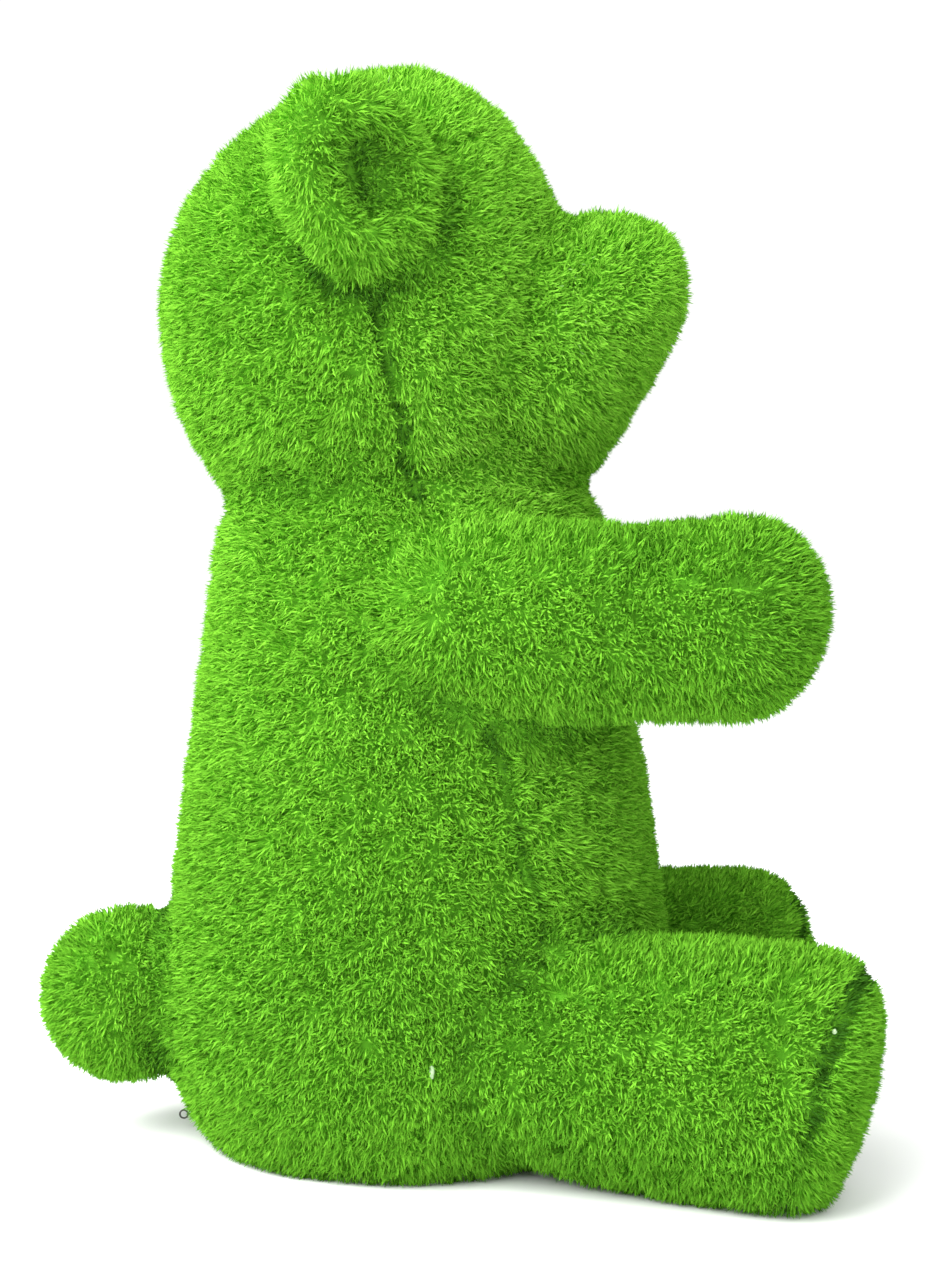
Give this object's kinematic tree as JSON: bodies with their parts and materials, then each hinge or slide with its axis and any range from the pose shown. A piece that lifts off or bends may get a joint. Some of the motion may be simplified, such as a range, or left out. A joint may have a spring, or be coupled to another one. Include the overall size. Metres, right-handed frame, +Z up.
{
  "type": "grass bear figurine",
  "caption": "Seated bear figurine covered all over in short artificial grass, with outstretched arms and legs, round hollowed ears, a blunt muzzle and a ball tail.",
  "frame": {"origin": "on the ground, in the middle of the bear's bounding box seen from above", "axes": "+Z up, -Y the way the bear faces, +X towards the bear's left side"},
  "size_m": [0.3934, 0.4608, 0.6006],
  "materials": {
    "artificial_grass": "matt short-pile artificial turf, vivid lime to mid green, darker at the roots and along the parted seams"
  },
  "bodies": {
    "root": {"grass_bear": "artificial_grass"}
  },
  "joints": []
}
